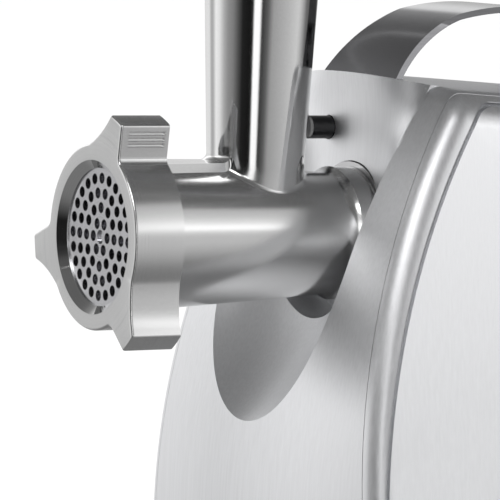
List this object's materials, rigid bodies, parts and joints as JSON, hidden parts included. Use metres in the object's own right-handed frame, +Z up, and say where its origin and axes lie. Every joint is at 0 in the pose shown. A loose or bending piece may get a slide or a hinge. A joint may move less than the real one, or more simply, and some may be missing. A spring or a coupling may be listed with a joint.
{
  "type": "electric meat grinder",
  "caption": "Electric meat grinder with a lock-in grinding head, screw ring, feed tube, hopper tray, pusher and brushed metal body with a carry handle.",
  "frame": {"origin": "middle of the machine's outline seen from above, on the surface that the feet stand on", "axes": "+Z up, -Y out of the mince outlet, +X towards the side with the two keys"},
  "size_m": [0.224, 0.277, 0.356],
  "materials": {
    "brushed_shell": "satin",
    "silver_panel": "satin",
    "head_metal": "satin",
    "polished_steel": "polished",
    "cutting_steel": "polished",
    "black_plastic": "gloss",
    "dark_plastic": "matte",
    "white_nylon": "matte",
    "foot_rubber": "matte",
    "cast_alloy": "satin",
    "zinc_steel": "satin",
    "electric_steel": "satin",
    "copper_wire": "gloss",
    "carbon": "matte",
    "board_green": "satin"
  },
  "bodies": {
    "housing": {"front_shell": "brushed_shell", "rear_shell": "brushed_shell", "side_frame_left": "brushed_shell", "side_frame_right": "brushed_shell", "side_panel_left": "silver_panel", "side_panel_right": "silver_panel", "base_plate": "dark_plastic", "feet": "foot_rubber", "feet_screws": "zinc_steel", "cord_gland": "dark_plastic", "handle": "brushed_shell", "handle_screws": "zinc_steel", "hub_collar": "polished_steel", "collar_screws": "zinc_steel", "gearbox_case": "cast_alloy", "gearbox_cover": "cast_alloy", "gearbox_screws": "zinc_steel", "output_bearing": "zinc_steel", "output_bush": "zinc_steel", "gear_pins": "zinc_steel", "spring_bracket": "dark_plastic", "field_core": "electric_steel", "field_coils": "copper_wire", "motor_bearings": "zinc_steel", "motor_bracket": "cast_alloy", "carbon_brushes": "carbon", "brush_holders": "dark_plastic", "motor_saddle": "dark_plastic", "key_switches": "dark_plastic", "board_bracket": "dark_plastic", "control_board": "board_green", "suppression_capacitor": "dark_plastic"},
    "head": {"barrel": "head_metal", "barrel_bush": "white_nylon", "perforated_plate": "cutting_steel"},
    "ring": {"screw_ring": "head_metal"},
    "auger": {"worm": "cutting_steel", "knife": "cutting_steel", "worm_coupling": "white_nylon", "coupling_screw": "zinc_steel", "output_gear": "white_nylon"},
    "second_gear_set": {"second_gear": "white_nylon"},
    "first_gear_set": {"first_gear": "white_nylon"},
    "rotor": {"motor_shaft": "zinc_steel", "motor_pinion": "zinc_steel", "armature_core": "electric_steel", "armature_winding": "copper_wire", "commutator": "copper_wire", "cooling_fan": "dark_plastic"},
    "hopper": {"tray": "head_metal"},
    "stomper": {"pusher": "black_plastic", "pusher_cap": "black_plastic"},
    "release": {"release_button": "black_plastic", "lock_bar": "zinc_steel", "release_spring": "zinc_steel"},
    "power": {"power_key": "black_plastic"},
    "reverse": {"reverse_key": "black_plastic"}
  },
  "joints": [
    {"name": "auger_spin", "type": "hinge", "parent": "housing", "child": "auger", "pos_m": [0, -0.0025, 0.165], "axis": [0, 1, 0], "continuous": true},
    {"name": "second_gear_spin", "type": "hinge", "parent": "housing", "child": "second_gear_set", "pos_m": [0.03, 0.0275, 0.1266], "axis": [0, 1, 0], "continuous": true},
    {"name": "first_gear_spin", "type": "hinge", "parent": "housing", "child": "first_gear_set", "pos_m": [-0.0035, 0.0375, 0.1098], "axis": [0, 1, 0], "continuous": true},
    {"name": "rotor_spin", "type": "hinge", "parent": "housing", "child": "rotor", "pos_m": [0, 0.0875, 0.075], "axis": [0, 1, 0], "continuous": true},
    {"name": "head_lock_turn", "type": "hinge", "parent": "housing", "child": "head", "pos_m": [0, -0.0035, 0.165], "axis": [0, 1, 0], "range_deg": [0, 45]},
    {"name": "ring_unscrew", "type": "hinge", "parent": "head", "child": "ring", "pos_m": [0, -0.1225, 0.165], "axis": [0, 1, 0], "range_deg": [0, 360]},
    {"name": "tray_lift", "type": "slide", "parent": "head", "child": "hopper", "axis": [0, 0, 1], "range_m": [0, 0.06]},
    {"name": "pusher_lift", "type": "slide", "parent": "hopper", "child": "stomper", "axis": [0, 0, 1], "range_m": [0, 0.12]},
    {"name": "release_press", "type": "slide", "parent": "housing", "child": "release", "axis": [0, 1, 0], "range_m": [0, 0.0035], "stiffness_N_per_m": 600, "springref_m": -0.002},
    {"name": "power_press", "type": "slide", "parent": "housing", "child": "power", "axis": [-1, 0, 0], "range_m": [0, 0.0012], "stiffness_N_per_m": 900, "springref_m": -0.001},
    {"name": "reverse_press", "type": "slide", "parent": "housing", "child": "reverse", "axis": [-1, 0, 0], "range_m": [0, 0.0012], "stiffness_N_per_m": 900, "springref_m": -0.001}
  ],
  "couplings": [
    {"joint": "second_gear_spin", "follows": "auger_spin", "ratio": -4},
    {"joint": "first_gear_spin", "follows": "auger_spin", "ratio": 16},
    {"joint": "rotor_spin", "follows": "auger_spin", "ratio": -96}
  ]
}
